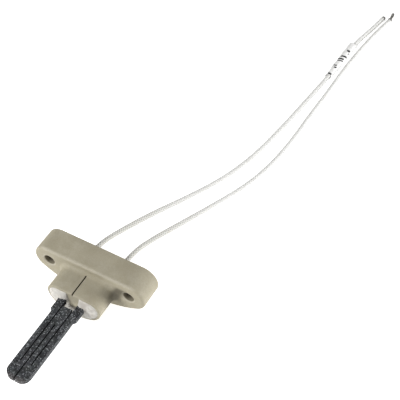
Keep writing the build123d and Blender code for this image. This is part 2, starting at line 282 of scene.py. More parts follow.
class Recipe:
    """A material's node tree with one method that adds any node."""

    def __init__(self, name, **shader):
        self.material = bpy.data.materials.new(name)
        self.material.use_nodes = True
        self.tree = self.material.node_tree
        self.shader = self.tree.nodes["Principled BSDF"]
        self.set(self.shader, shader)

    def set(self, node, inputs):
        """Sets or links sockets, by number or by name with _ for a space."""
        for key, value in inputs.items():
            socket = node.inputs[key if isinstance(key, int) else key.replace("_", " ")]
            if isinstance(value, Value):
                self.tree.links.new(value.socket, socket)
            elif isinstance(value, (tuple, list)) and socket.type == "RGBA" and len(value) == 3:
                socket.default_value = (*value, 1.0)
            else:
                socket.default_value = value

    def node(self, kind, settings=None, inputs=None, out=0):
        """Adds a node: first its own settings, then the values or links of its sockets."""
        node = self.tree.nodes.new(kind)
        for name, value in (settings or {}).items():
            setattr(node, name, value)
        self.set(node, inputs or {})
        return Value(self, node.outputs[out])

    def math(self, operation, *values):
        return self.node("ShaderNodeMath", {"operation": operation}, dict(enumerate(values)))

    def least(self, one, other):
        return self.math("MINIMUM", one, other)

    def most(self, one, other):
        return self.math("MAXIMUM", one, other)

    def step(self, value, start, end, to_start=0.0, to_end=1.0):
        """A smooth step from to_start, where value is start, to to_end, where it is end."""
        return self.node("ShaderNodeMapRange", {"interpolation_type": "SMOOTHSTEP", "clamp": True},
                         {0: value, 1: start, 2: end, 3: to_start, 4: to_end})

    def fall(self, value, start, end):
        """A smooth step down from 1, where value is start, to 0, where it is end."""
        return self.step(value, start, end, 1.0, 0.0)

    def mix(self, factor, one, other, blend="MIX"):
        """Colour one where factor is 0 and the other where it is 1."""
        return self.node("ShaderNodeMix", {"data_type": "RGBA", "blend_type": blend},
                         {0: factor, 6: one, 7: other}, out=2)

    def layers(self, colour, *coats):
        """Tints laid over a colour in turn, each where its own mask is 1."""
        for mask, tint in coats:
            colour = self.mix(mask, colour, tint)
        return colour

    def place(self, stretch=(1, 1, 1)):
        """Object coordinates in millimetres, each axis times its own stretch."""
        size = [value / MM for value in stretch]
        coordinates = self.node("ShaderNodeTexCoord", out="Object")
        return self.node("ShaderNodeMapping", None, {"Vector": coordinates, "Scale": size})

    def wrap(self):
        """Millimetres round a piece and along it, from its own UV map."""
        return self.axes(self.node("ShaderNodeUVMap", {"uv_map": "UVMap"}))[:2]

    def axes(self, vector):
        """The three numbers of a vector or a colour."""
        split = self.tree.nodes.new("ShaderNodeSeparateXYZ")
        self.tree.links.new(vector.socket, split.inputs[0])
        return [Value(self, socket) for socket in split.outputs]

    def noise(self, vector, scale, detail=3.0, roughness=0.55, out=0):
        """Cloudy noise, from 0 to 1."""
        return self.node("ShaderNodeTexNoise", None, {
            "Vector": vector, "Scale": scale, "Detail": detail, "Roughness": roughness}, out)

    def cells(self, vector, scale, out="Distance"):
        """Scattered cells: the distance to a cell's middle, or a colour for each cell."""
        return self.node("ShaderNodeTexVoronoi", None, {"Vector": vector, "Scale": scale}, out)

    def relief(self, *layers):
        """Reliefs laid one on another, each a height from 0 to 1, its depth in millimetres
        and its strength."""
        normal = None
        for height, depth, strength in layers:
            inputs = {"Height": height, "Distance": depth * MM, "Strength": strength}
            if normal is not None:
                inputs["Normal"] = normal
            normal = self.node("ShaderNodeBump", None, inputs)
        return normal

    def finish(self, **inputs):
        """Feeds the shader what changes over the surface."""
        self.set(self.shader, inputs)
        return self.material


def fixing_hole_distance(x, z):
    """Distance from the nearer fixing hole's axis, in millimetres."""
    across = abs(x) - HOLE_SPACING / 2
    up = z - float(HOLE_CENTRE[2])
    return (across * across + up * up) ** 0.5


def steatite(look):
    """Unglazed pressed ceramic: fine grain, cloudy tint, small dark specks and pits, a painted
    highlight along the front-top edge and round the holes, painted shade inside the holes and the
    slit, darker deeper in, and painted shade in the corner by the boss."""
    r = Recipe("steatite", Specular_IOR_Level=0.32)
    place = r.place()
    x, y, z = r.axes(place)
    cloud = r.noise(place, 0.11, 4.0, 0.6)
    streak = r.noise(r.place((0.25, 0.25, 1.1)), 0.6, 3.0)
    mottle = r.noise(place, 1.3, 3.0, 0.6)
    grain = r.noise(place, 3.4, 5.0, 0.7)
    handling = r.noise(place, 0.05, 2.0)
    pits = r.step(r.cells(place, 2.6), 0.10, 0.28)
    speck = r.fall(r.cells(place, 1.15), 0.06, 0.15) * r.step(r.noise(place, 0.8), 0.52, 0.60)
    top = float(HOLDER_HIGH[2])
    # Painted highlight along the flange's rounded front-top edge, broken up by the grain.
    edge_highlight = r.step(z, top - 1.6, top - 0.2) * r.fall(y, SEAT_Y + 0.1, SEAT_Y + 1.6)
    edge_highlight = edge_highlight * r.step(grain, 0.30, 0.60)
    away = fixing_hole_distance(x, z)
    # Painted shade inside the fixing holes, darker deeper in.
    inside = r.fall(away, HOLE_RADIUS - 0.05, HOLE_RADIUS + 0.10)
    deep = r.step(y, SEAT_Y + 0.2, SEAT_Y + 4.0) * r.fall(y, BACK_Y - 4.0, BACK_Y - 0.2)
    # Painted highlight in a ring round each hole.
    rim = r.fall(abs(away - HOLE_RADIUS - 0.35), 0.05, 0.45) * (1 - inside)
    # Painted shade in the slit.
    slit = r.fall(abs(x), 0.28, 0.34) * r.fall(y, SEAT_Y - 1.1, SEAT_Y - 0.8)
    slit = slit * r.step(z, 14.05, 14.35) * r.fall(z, 15.0, 15.35)
    # Painted shade in the corner on the right of the boss, where it meets the flange.
    across = x - (z - 10.0) * 0.5
    corner = r.step(across, 9.2, 11.8) * r.fall(across, 13.5, 17.0)
    corner = corner * r.step(y, SEAT_Y - 7.5, SEAT_Y - 2.0) * r.fall(y, SEAT_Y + 0.3, SEAT_Y + 0.8)
    corner = corner * r.step(z, 4.0, 8.0) * r.fall(z, 14.5, 16.8)
    colour = r.layers(
        look.holder_colour,
        (r.step(cloud, 0.35, 0.68), look.holder_shade),
        (r.step(streak, 0.46, 0.70) * 0.35, look.holder_light),
        (r.step(mottle, 0.36, 0.64) * 0.40, look.holder_shade),
        (r.step(grain, 0.40, 0.72) * 0.45, look.holder_light),
        (speck * 0.55, look.holder_speck),
        (edge_highlight * 0.45, look.holder_worn),
        (inside * (0.45 + deep * 0.5), look.hole_dirt),
        (rim * 0.40, look.holder_worn),
        (slit * 0.8, look.hole_dirt),
        (r.step(handling, 0.50, 0.70) * 0.18, look.holder_speck),
        (corner * (0.62 + grain * 0.25), look.holder_soot))
    relief = r.relief((grain, 0.055, 1.0), (pits, 0.03, 0.8), (mottle, 0.06, 0.6),
                      (cloud, 0.10, 0.5))
    return r.finish(Base_Color=colour, Normal=relief,
                    Roughness=0.62 + grain * 0.22 + inside * 0.10)


def silicon_carbide(look):
    """Sintered grains: dark slate with blue, green and rose tints, each grain its own grey, some
    faces glossy with painted glints, a painted highlight on the side faces, painted shade in the
    slots and a browner tip."""
    r = Recipe("silicon_carbide", Specular_IOR_Level=0.30)
    place = r.place()
    x, y, z = r.axes(place)
    shade, pick, gloss = r.axes(r.cells(place, 2.7, "Color"))
    fine = r.noise(place, 5.5, 4.0, 0.7)
    cloud = r.noise(place, 0.30, 3.0)
    tint = r.noise(place, 0.45, 2.0, out="Color")
    # Painted glints: a few grain faces get a bright colour.
    painted_glint = r.step(pick, 0.80, 0.88) * r.step(fine, 0.40, 0.60)
    # Painted highlight on the blade's side faces in front of the holder.
    side = r.step(abs(x), 5.02, 5.09) * r.fall(y, 1.0, 2.5)
    outer = r.fall(abs(abs(x) - SLOT_PITCH), 0.30, 0.33) * r.step(y, TIP_Y + 7.3, TIP_Y + 7.4)
    middle = r.fall(abs(x), 0.30, 0.33) * r.fall(y, BOSS_FACE_Y - 12.4, BOSS_FACE_Y - 12.3)
    under, top = float(ELEMENT_LOW[2]), float(ELEMENT_HIGH[2])
    within = r.fall(z, top - 0.10, top - 0.02) * r.step(z, under + 0.02, under + 0.10)
    # Painted shade: the slots' walls get a near-black colour.
    slot_shade = r.least(outer + middle, 1.0) * within
    colour = r.layers(
        look.element_dark,
        (r.step(shade, 0.1, 0.95), look.element_colour),
        (r.step(cloud, 0.35, 0.70) * 0.55, look.element_light))
    colour = r.layers(
        r.mix(0.16, colour, tint, blend="SOFT_LIGHT"),
        (painted_glint * 0.50, look.element_sparkle),
        (r.step(pick, 0.16, 0.08) * 0.6, look.element_dark),
        (r.fall(y, TIP_Y + 0.3, TIP_Y + 2.2) * 0.40, look.element_tip),
        (side * 0.35, look.element_light),
        (slot_shade, look.element_slot))
    polish = r.step(gloss, 0.55, 0.95, 0.72, 0.38)
    return r.finish(Base_Color=colour, Roughness=r.least(polish + fine * 0.12 + slot_shade, 1.0),
                    Normal=r.relief((r.cells(place, 2.7), 0.12, 0.9), (fine, 0.05, 0.8)))


def cement_finish(look):
    """Hand-filled refractory cement: off-white, sandy, with pores and a few tan stains."""
    r = Recipe("refractory_cement", Specular_IOR_Level=0.25)
    place = r.place()
    sand = r.noise(place, 4.2, 5.0, 0.75)
    pores = r.step(r.cells(place, 1.4), 0.05, 0.20)
    few = r.step(r.noise(place, 0.9), 0.50, 0.62)
    colour = r.layers(
        look.cement_colour,
        (r.step(r.noise(place, 0.35, 4.0), 0.42, 0.68), look.cement_shade),
        (r.step(sand, 0.50, 0.78) * 0.4, look.cement_light),
        (r.step(r.noise(place, 0.55, 2.0), 0.60, 0.75) * 0.35, look.holder_colour),
        ((1 - pores) * few * 0.40, look.holder_shade))
    return r.finish(Base_Color=colour, Roughness=0.80 + sand * 0.15,
                    Normal=r.relief((sand, 0.10, 1.0), (pores, 0.08, 0.8)))


def glass_braid(look, side, length):
    """Woven glass yarns along the lead's own UV map: fibres along both yarn directions, painted
    shade in the gaps between yarns, and a greyer run next to the holder."""
    r = Recipe(f"glass_braid_{side}", Specular_IOR_Level=0.35, Sheen_Weight=0.25,
               Sheen_Roughness=0.5)
    around, along = r.wrap()
    forward = along * (look.braid_carriers / look.braid_pitch)
    sideways = around * (look.braid_carriers / (2 * pi * BRAID_RADIUS))
    one, two = forward + sideways, forward - sideways
    ridge_one, ridge_two = (r.math("COSINE", yarn * pi) for yarn in (one, two))
    over = ridge_one * ridge_two
    first = abs(ridge_one) * (0.7 + over * 0.3)
    second = abs(ridge_two) * (0.7 - over * 0.3)
    upper = r.step(first - second, -0.03, 0.03)
    threads_one, threads_two = (r.math("SINE", yarn * (8 * pi)) for yarn in (one, two))
    fibres = 0.5 + (threads_one * (1 - upper) + threads_two * upper) * 0.5
    place = r.place()
    fuzz = r.noise(place, 6.0, 4.0, 0.7)
    near = r.fall(along, 8.0, 75.0)
    # Painted shade in the gaps between yarns, darker next to the holder.
    gaps = r.step(r.most(first, second), 0.62, 0.28)
    colour = r.layers(
        look.braid_colour,
        (near * 0.55, look.braid_near),
        (r.step(r.noise(place, 0.16, 3.0), 0.48, 0.74) * 0.25, look.braid_shade),
        (gaps * (0.36 + near * 0.62), look.braid_gap),
        (fibres * 0.05, look.braid_gap),
        (r.step(r.noise(place, 0.45, 3.0), 0.62, 0.74) * 0.30, look.braid_soil),
        (r.step(along, length - 4.0, length) * 0.35, look.braid_gap),
        (r.step(along + fuzz * 0.8, length - 1.1, length - 0.3) * 0.92, look.braid_end))
    return r.finish(Base_Color=colour, Roughness=0.70 + fuzz * 0.20,
                    Normal=r.relief((fibres, 0.03, 0.8), (fuzz, 0.05, 0.7)))


def mica_finish(look):
    """Mica and glass tape in a spiral: pale bands with a darker lap line and mica flakes."""
    r = Recipe("mica_tape", Specular_IOR_Level=0.5)
    around, along = r.wrap()
    turn = r.math("FRACT", along / TAPE_WIDTH + around / (2 * pi * TAPE_MAP_RADIUS))
    flash = r.axes(r.cells(r.place(), 1.6, "Color"))[0]
    colour = r.layers(look.mica_colour, (flash * 0.5, look.mica_light),
                      (r.fall(turn, 0.0, 0.12) * 0.6, look.braid_gap))
    return r.finish(Base_Color=colour, Roughness=r.step(flash, 0.2, 0.9, 0.6, 0.3),
                    Normal=r.relief((turn, 0.04, 1.0)))


def wire_finish(look):
    """Drawn nickel-plated strands with fine lengthwise lines and dull, darker patches."""
    r = Recipe("plated_wire")
    lines = r.noise(r.place((1.0, 0.12, 1.0)), 9.0, 3.0)
    dull = r.noise(r.place(), 0.8, 3.0)
    colour = r.mix(r.step(dull, 0.40, 0.66), look.wire_colour, look.wire_dull)
    return r.finish(Base_Color=colour, Metallic=r.step(dull, 0.3, 0.8, 0.95, 0.75),
                    Roughness=0.30 + lines * 0.18 + r.step(dull, 0.45, 0.7) * 0.18,
                    Normal=r.relief((lines, 0.01, 1.0)))


def strip_finish(look):
    """Rolled nickel-alloy strip: lines along the roll and a heat tint."""
    r = Recipe("nickel_strip")
    lines = r.noise(r.place((0.08, 1.0, 0.08)), 6.0, 4.0)
    heat = r.noise(r.place(), 0.5, 2.0)
    colour = r.mix(r.step(heat, 0.42, 0.66) * 0.6, look.strip_colour, look.strip_heat)
    return r.finish(Base_Color=colour, Metallic=0.95, Roughness=0.28 + lines * 0.25,
                    Normal=r.relief((lines, 0.01, 1.0)))


def sprayed_finish(look):
    """Arc-sprayed metal: a coarse, dull splatter of flat drops."""
    r = Recipe("sprayed_metal")
    drops = r.cells(r.place(), 4.5)
    splash = r.noise(r.place(), 2.4, 4.0, 0.7)
    colour = r.mix(r.step(splash, 0.35, 0.70), look.spray_colour, look.strip_colour)
    return r.finish(Base_Color=colour, Metallic=0.85, Roughness=0.52 + splash * 0.25,
                    Normal=r.relief((drops, 0.06, 0.9), (splash, 0.05, 0.8)))


# Plain bars printed on the wrap: place along it, thickness, first and last place round
# it and lean, all in millimetres but the lean.
MARKS = [(1.2, 1.1, 1.0, 2.8, 0.0), (6.6, 0.9, 1.5, 2.4, 0.3), (8.2, 0.8, 2.0, 3.2, 0.3),
         (12.4, 0.7, 0.9, 3.4, 0.45), (14.0, 1.0, 1.1, 3.6, 0.45), (16.2, 1.1, 0.5, 3.0, 0.45),
         (21.2, 1.3, 1.1, 2.3, 0.0), (19.4, 0.6, 0.7, 1.3, 0.0)]


def paper_finish(look):
    """White paper wrap with plain dark printed bars of uneven length, soft creases and
    grubby edges."""
    r = Recipe("label_paper", Specular_IOR_Level=0.4)
    around, along = r.wrap()
    ink = 0.0
    for start, thickness, first, last, lean in MARKS:
        where = along + (around - LABEL_ROUND / 4) * lean
        bar = r.fall(abs(where - start), thickness * 0.5, thickness * 0.5 + 0.12)
        span = r.step(around, first - 0.1, first + 0.1) * r.fall(around, last - 0.1, last + 0.1)
        ink = r.most(bar * span, ink)
    fade = r.step(r.noise(r.place(), 1.3, 3.0), 0.32, 0.48)
    crease = r.noise(r.place((1.0, 0.35, 1.0)), 0.7, 4.0, 0.6)
    fibre = r.noise(r.place(), 7.0, 4.0, 0.7)
    half = look.label_length / 2
    colour = r.layers(
        look.paper_colour,
        (r.step(crease, 0.40, 0.62) * 0.5, look.paper_shade),
        (r.step(r.noise(r.place(), 0.5, 3.0), 0.55, 0.75) * 0.25, look.braid_shade),
        (ink * (0.8 + fade * 0.2), look.ink_colour),
        (r.step(abs(along - half), half - 0.8, half) * 0.35, look.braid_gap))
    return r.finish(Base_Color=colour, Roughness=0.55 + fibre * 0.2,
                    Normal=r.relief((crease, 0.15, 0.9), (fibre, 0.02, 0.7)))


def floor_finish(look):
    """Plain pale studio paper with the faintest tooth."""
    r = Recipe("studio_floor", Specular_IOR_Level=0.0)
    tooth = r.noise(r.place(), 0.02, 2.0)
    return r.finish(Base_Color=r.mix(tooth * 0.05, look.floor_colour, (0.9, 0.9, 0.9)),
                    Roughness=1.0, Emission_Color=(1.0, 1.0, 1.0),
                    Emission_Strength=look.floor_glow)


def dress(node, material):
    """Gives a carried-over CAD node its material, in each of its slots."""
    shape = frame["nodes"][node]
    if not shape.material_slots:
        shape.data.materials.append(material)
    for slot in shape.material_slots:
        slot.link = "OBJECT"
        slot.material = material


def settle(piece, material, slot, *nodes):
    """Gives a new piece its material and its body, and hides the CAD nodes it stands for. The slot
    argument is not used."""
    piece.data.materials.append(material)
    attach(piece, "root")
    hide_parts(*nodes)


# Settings

def colour_of(name, description, value):
    """A colour that a user may change."""
    return FloatVectorProperty(name=name, description=description, default=value,
                               size=3, min=0.0, max=1.0, subtype="COLOR")


def millimetres(name, description, value, least=0.0):
    """A length that a user may change, in millimetres."""
    return FloatProperty(name=name, description=description + ", in millimetres",
                         default=value, min=least)


class HolderSettings(PropertyGroup):
    """Colours of the ceramic holder."""
    holder_colour: colour_of("Body", "Main tan grey of the ceramic", (0.345, 0.315, 0.235))
    holder_shade: colour_of("Cloud", "Darker clouds in the ceramic", (0.305, 0.275, 0.195))
    holder_light: colour_of("Grain", "Pale grains in the ceramic", (0.43, 0.40, 0.32))
    # Painted highlight along the front-top edge and round the holes.
    holder_worn: colour_of("Highlight edge", "Pale highlighted edges", (0.56, 0.53, 0.45))
    holder_speck: colour_of("Speck", "Dark specks and handling marks", (0.17, 0.15, 0.11))
    # Painted shade in the corner by the boss.
    holder_soot: colour_of("Shading", "Dark shading in the corner by the boss", (0.05, 0.042, 0.025))
    # Painted shade inside the holes and the slit.
    hole_dirt: colour_of("Hole", "Dark inside of the holes", (0.045, 0.032, 0.020))


class ElementSettings(PropertyGroup):
    """Colours of the silicon-carbide element and its terminals."""
    element_colour: colour_of("Slate", "Main grey of the element", (0.033, 0.035, 0.038))
    element_dark: colour_of("Dark grain", "Darkest grains and slots", (0.008, 0.009, 0.010))
    # Painted shade in the slots.
    element_slot: colour_of("Slot", "Black inside the slots", (0.0015, 0.0015, 0.002))
    # Paler clouds, and also the painted highlight on the blade's side faces.
    element_light: colour_of("Light cloud", "Paler clouds", (0.066, 0.070, 0.074))
    # Painted glints on a few grain faces.
    element_sparkle: colour_of("Sparkle", "Bright grain faces", (0.62, 0.65, 0.68))
    element_tip: colour_of("Tip", "Browner band at the tip", (0.085, 0.070, 0.066))
    spray_colour: colour_of("Sprayed metal", "Layer on the legs' ends", (0.44, 0.45, 0.46))
    strip_colour: colour_of("Strip", "Nickel-alloy clips and sleeves", (0.62, 0.58, 0.52))
    strip_heat: colour_of("Heat tint", "Straw tint on the clips", (0.46, 0.35, 0.22))


class CementSettings(PropertyGroup):
    """Shape and colours of the cement."""
    bulge: millimetres("Bulge", "How far the cement stands out of the boss", 1.15)
    meniscus: millimetres("Meniscus", "How far the cement climbs along a leg", 0.7)
    roughness: millimetres("Lumps", "Height of the hand-filled lumps", 0.34)
    plug_dome: millimetres("Plug dome", "How far a rear plug stands out", 0.5)
    cement_colour: colour_of("Cement", "Main off-white", (0.58, 0.56, 0.52))
    cement_shade: colour_of("Shade", "Greyer patches", (0.44, 0.41, 0.37))
    cement_light: colour_of("Sand", "White sand grains", (0.74, 0.72, 0.68))


class LeadSettings(PropertyGroup):
    """Make-up and colours of the two leads."""
    braid_carriers: IntProperty(name="Yarns", description="Yarns each way round a braid",
                                default=6, min=4, max=16)
    braid_pitch: millimetres("Pitch", "Length of one turn of a yarn", 7.8, 2.0)
    braid_relief: millimetres("Relief", "Depth of the weave", 0.22)
    braid_loose: FloatProperty(name="Loose run", default=0.13, min=0.0, max=0.4,
                               description="How much wider the braid is behind the holder")
    strand_lay: millimetres("Lay", "Length of one turn of the wire strands", 13.0, 4.0)
    splay: FloatProperty(name="Splay", description="How far the bare strands spread at the tip",
                         default=0.85, min=0.0, max=2.0)
    bare_length: millimetres("Bare wire", "Bare wire at the right lead's end", 5.4)
    cut_length: millimetres("Cut end", "Wire that shows at the left lead's cut end", 0.6)
    braid_colour: colour_of("Braid", "White glass yarn", (0.74, 0.74, 0.72))
    braid_near: colour_of("Near run", "Greyer yarn behind the holder", (0.56, 0.55, 0.49))
    braid_shade: colour_of("Braid shade", "Grey patches", (0.60, 0.59, 0.55))
    braid_gap: colour_of("Gap", "Shadowed gaps between yarns", (0.09, 0.08, 0.065))
    braid_end: colour_of("Singed end", "Dark yarn ends at the cut", (0.035, 0.030, 0.025))
    braid_soil: colour_of("Soil", "Brownish handling marks", (0.52, 0.46, 0.36))
    mica_colour: colour_of("Mica", "Tape under the braid", (0.62, 0.55, 0.40))
    mica_light: colour_of("Mica flake", "Bright mica flakes", (0.80, 0.75, 0.62))
    wire_colour: colour_of("Wire", "Nickel plating", (0.42, 0.41, 0.38))
    wire_dull: colour_of("Dull wire", "Tarnished plating", (0.13, 0.125, 0.115))


class LabelSettings(PropertyGroup):
    """Paper wrap on the left lead."""
    label_length: millimetres("Length", "Length of the wrap", 28.0, 5.0)
    label_shift: millimetres("Flag", "How far the wrap's far end stands out to the left", 0.6)
    label_crinkle: millimetres("Crinkle", "Height of the paper's creases", 0.16)
    paper_colour: colour_of("Paper", "White paper", (0.84, 0.84, 0.83))
    paper_shade: colour_of("Crease", "Shaded creases", (0.78, 0.78, 0.76))
    ink_colour: colour_of("Ink", "Plain dark marks", (0.012, 0.012, 0.015))


class StageSettings(PropertyGroup):
    """Camera, light and floor."""
    azimuth: FloatProperty(name="Azimuth", description="Camera's turn round the object",
                           default=radians(29.142), subtype="ANGLE")
    elevation: FloatProperty(name="Elevation", description="Camera's height angle",
                             default=radians(50.054), subtype="ANGLE")
    lens: FloatProperty(name="Lens", description="Focal length in mm on a 36 mm wide sensor",
                        default=88.72, min=10.0)
    key_power: FloatProperty(name="Key light", description="Power of the light on the left",
                             default=6.2, min=0.0, unit="POWER")
    top_power: FloatProperty(name="Top light", description="Power of the light overhead",
                             default=1.2, min=0.0, unit="POWER")
    side_power: FloatProperty(name="Side light", description="Power of the low light on the right",
                              default=3.2, min=0.0, unit="POWER")
    sky: FloatProperty(name="Surround", description="Strength of the white surround",
                       default=0.30, min=0.0)
    floor_glow: FloatProperty(name="Floor glow", description="Light that the lit floor gives off",
                              default=0.62, min=0.0)
    floor_colour: colour_of("Floor", "Pale studio floor", (0.96, 0.96, 0.96))


class Looks:
    """All colour and size settings of the scene, read as one."""

    def __init__(self, scene):
        self.groups = [getattr(scene, name) for name in SETTINGS]

    def __getattr__(self, name):
        for group in self.groups:
            if name in type(group).__annotations__:
                value = getattr(group, name)
                return tuple(value) if hasattr(value, "__len__") else value
        raise AttributeError(name)


# Pieces

class IGNITER_OT_holder(Operator):
    """Gives the ceramic holder its pressed, unglazed finish"""
    bl_idname = "igniter.holder"
    bl_label = "Ceramic holder"

    def execute(self, context):
        dress("ceramic_block", steatite(Looks(context.scene)))
        return {"FINISHED"}


class IGNITER_OT_element(Operator):
    """Gives the heating element its sintered silicon-carbide finish"""
    bl_idname = "igniter.element"
    bl_label = "Heating element"

    def execute(self, context):
        dress("heating_element", silicon_carbide(Looks(context.scene)))
        return {"FINISHED"}


class IGNITER_OT_terminals(Operator):
    """Gives the contact layers, clips and crimp sleeves inside the holder their metals"""
    bl_idname = "igniter.terminals"
    bl_label = "Terminals"

    def execute(self, context):
        look = Looks(context.scene)
        strip, spray = strip_finish(look), sprayed_finish(look)
        for side in ("left", "right"):
            dress(f"{side}_contact_layer", spray)
            dress(f"{side}_terminal_clip", strip)
            dress(f"{side}_crimp_sleeve", strip)
        return {"FINISHED"}


def along_outline(corners, count):
    """Points evenly spaced along an open outline of straight runs."""
    corners = np.asarray(corners, dtype=float)
    at = run_lengths(corners)
    return measured(corners, at, np.linspace(0, at[-1], count))


def arc(centre, radius, start, end):
    """Points on an arc in the boss's plane, angles in degrees from +X towards +Z."""
    angle = np.radians(np.linspace(start, end, 14))
    return np.array(centre) + radius * np.stack([np.cos(angle), np.sin(angle)], axis=-1)


def pocket_rim():
    """Inner rim of the boss from the web's left top round the bottom to its right top:
    a flat top, an arc at each shoulder, a lower arc that runs into the long bottom arc."""
    half, top, bottom = FILL_HIGH[0], FILL_HIGH[2], FILL_LOW[2]
    end_z = top - RIM_SHOULDER
    depth = end_z - bottom
    inset = half - RIM_LOWER
    bottom_radius = (inset ** 2 + depth ** 2 - RIM_LOWER ** 2) / (2 * (depth - RIM_LOWER))
    turn = np.degrees(np.arctan2(end_z - (bottom + bottom_radius), inset))
    right = np.vstack([
        [[WEB_TOP_HALF, top]],
        arc((half - RIM_SHOULDER, end_z), RIM_SHOULDER, 90, 0),
        arc((inset, end_z), RIM_LOWER, 0, turn),
        arc((0.0, bottom + bottom_radius), bottom_radius, turn, -90),
    ])
    left = right[:-1] * [-1, 1]
    return np.vstack([left, right[::-1]])


def leg_distance(x, z):
    """Distance in the boss's plane from the nearer leg's section, zero inside it."""
    across = np.maximum(np.maximum(LEG_INNER - np.abs(x), np.abs(x) - LEG_OUTER), 0)
    up = np.maximum(np.maximum(ELEMENT_LOW[2] - z, z - ELEMENT_HIGH[2]), 0)
    return np.hypot(across, up)


class IGNITER_OT_front_cement(Operator):
    """Fills the pocket in front with lumpy cement that climbs round the legs"""
    bl_idname = "igniter.front_cement"
    bl_label = "Front cement"

    def execute(self, context):
        """Across the fill, from the rim at v = 0 to the web at v = 1, the surface stands
        out by the bulge times a rounded step off the rim, plus lumps, plus the meniscus,
        which falls off with the distance from a leg. Along the fill, u follows the rim
        and the web's outline together. Each cross-section closes along the pocket's floor."""
        look = Looks(context.scene)
        columns = 300
        rim = along_outline(pocket_rim(), columns)
        web_top = FILL_HIGH[2]
        web = along_outline([(-WEB_TOP_HALF, web_top), (-WEB_FOOT_HALF, WEB_FOOT_Z),
                             (WEB_FOOT_HALF, WEB_FOOT_Z), (WEB_TOP_HALF, web_top)], columns)
        v = np.linspace(0, 1, 64)
        flat = rim[:, None] * (1 - v)[None, :, None] + web[:, None] * v[None, :, None]
        x, z = flat[..., 0], flat[..., 1]
        places = np.stack([x, np.zeros_like(x), z], axis=-1)
        to_rim = np.linalg.norm(flat - rim[:, None], axis=-1)
        to_web = np.linalg.norm(flat - web[:, None], axis=-1)
        dome = 1 - np.exp(-to_rim / 0.9)
        near_web = 1 - 0.75 * np.exp(-to_web / 0.7)
        hills = (lumps(places, 3.4, 11) * 0.6 + lumps(places, 1.3, 12) * 0.3
                 + lumps(places, 0.5, 13, 14) * 0.18)
        climb = look.meniscus * np.exp(-leg_distance(x, z) / 0.75)
        climb = climb * (1 + 0.35 * lumps(places, 2.2, 14))
        stand = (look.bulge * near_web + look.roughness * hills + climb) * dome
        ends = np.sin(pi * np.linspace(0, 1, columns)) ** 0.3
        stand = np.clip(stand * ends[:, None], -0.2, BOSS_FACE_Y - FILL_LOW[1] + 0.6)
        front = np.stack([x, BOSS_FACE_Y + 0.12 - stand, z], axis=-1)
        floor = np.full((columns, 2), FILL_HIGH[1] - 0.05)
        back = np.stack([x[:, [-1, 0]], floor, z[:, [-1, 0]]], axis=-1)
        points = np.concatenate([front, back], axis=1)
        sections = points.shape[1]
        faces = grid_faces(columns, sections)[:, ::-1].tolist()
        number = np.arange(columns * sections).reshape(columns, sections)
        faces += [number[0].tolist(), number[-1][::-1].tolist()]
        piece = new_piece("front_cement_fill", points, faces)
        settle(piece, cement_finish(look), "cement", "front_cement")
        return {"FINISHED"}


class IGNITER_OT_rear_cement(Operator):
    """Fills both lead bores at the back with a domed, lumpy cement plug"""
    bl_idname = "igniter.rear_cement"
    bl_label = "Rear cement"

    def execute(self, context):
        """A profile turned round the lead: back face, up the bore's wall, over a dome that
        is highest a third of the way in, and down to the lead, closed along the lead."""
        look = Looks(context.scene)
        finish = cement_finish(look)
        around = 96
        for seed, side in enumerate(("left", "right")):
            start, end = low(f"{side}_rear_cement"), high(f"{side}_rear_cement")
            centre = (start + end) / 2
            bore = (end[0] - start[0]) / 2 - 0.02
            inner = BRAID_RADIUS - 0.10
            t = np.linspace(0, 1, 22)
            radius = np.concatenate([[inner, bore], bore + (inner - bore) * t])
            dome = look.plug_dome * np.sin(pi * t) ** 0.6 * (0.6 + 0.5 * t) - 0.15 * (1 - t)
            depth = np.concatenate([[start[1], start[1]], end[1] + dome])
            angle = np.linspace(0, 2 * pi, around, endpoint=False)
            x = centre[0] + radius[:, None] * np.cos(angle)
            z = centre[2] + radius[:, None] * np.sin(angle)
            y = np.repeat(depth[:, None], around, axis=1)
            points = np.stack([x, y, z], axis=-1)
            shaped = np.concatenate([[0, 0], np.sin(pi * t)])
            hills = lumps(points, 1.6, 21 + seed) + 0.5 * lumps(points, 0.6, 31 + seed)
            points[..., 1] += shaped[:, None] * 0.16 * hills
            faces = grid_faces(len(radius), around, wrap_rows=True)
            piece = new_piece(f"{side}_rear_plug", points, faces.tolist())
            settle(piece, finish, "cement", f"{side}_rear_cement")
        return {"FINISHED"}


def weave(angle, s, look):
    """Height of a braid's surface, 0 to 1: two sets of yarns wind opposite ways, each a
    rounded ridge, and each crossing lifts one set over the other in turn."""
    turn = 2 * pi * s / look.braid_pitch
    one = np.cos(look.braid_carriers * (turn + angle) / 2)
    two = np.cos(look.braid_carriers * (turn - angle) / 2)
    over = 0.3 * one * two
    return np.maximum(np.abs(one) * (0.7 + over), np.abs(two) * (0.7 - over))


def sleeve_piece(name, path, s, outer, bore, around, bore_rings=150, blunt=0.15):
    """A tube along the path with a rounded edge at both ends and an open bore: the outer
    wall runs to the end and the inner wall runs back, closed into one ring."""
    angle = np.linspace(0, 2 * pi, around, endpoint=False)[None, :]
    wall = outer(s[:, None], angle)
    edge = np.minimum(s - s[0], s[-1] - s)
    wall = wall - 0.35 * (wall - bore) * np.clip(1 - edge / blunt, 0, 1)[:, None] ** 2
    back = np.linspace(s[-1], s[0], bore_rings)
    radius = np.vstack([wall, np.full((bore_rings, around), bore)])
    everywhere = np.concatenate([s, back])
    points = carried(path, everywhere, np.broadcast_to(angle, radius.shape), radius)
    points[..., 2] = np.maximum(points[..., 2], 0.01)
    faces = grid_faces(len(everywhere), around, wrap_rows=True)[:, ::-1]
    piece = new_piece(name, points, faces.tolist())
    add_uv(piece, np.broadcast_to(angle * BRAID_RADIUS, radius.shape),
           np.broadcast_to(everywhere[:, None], radius.shape))
    return piece


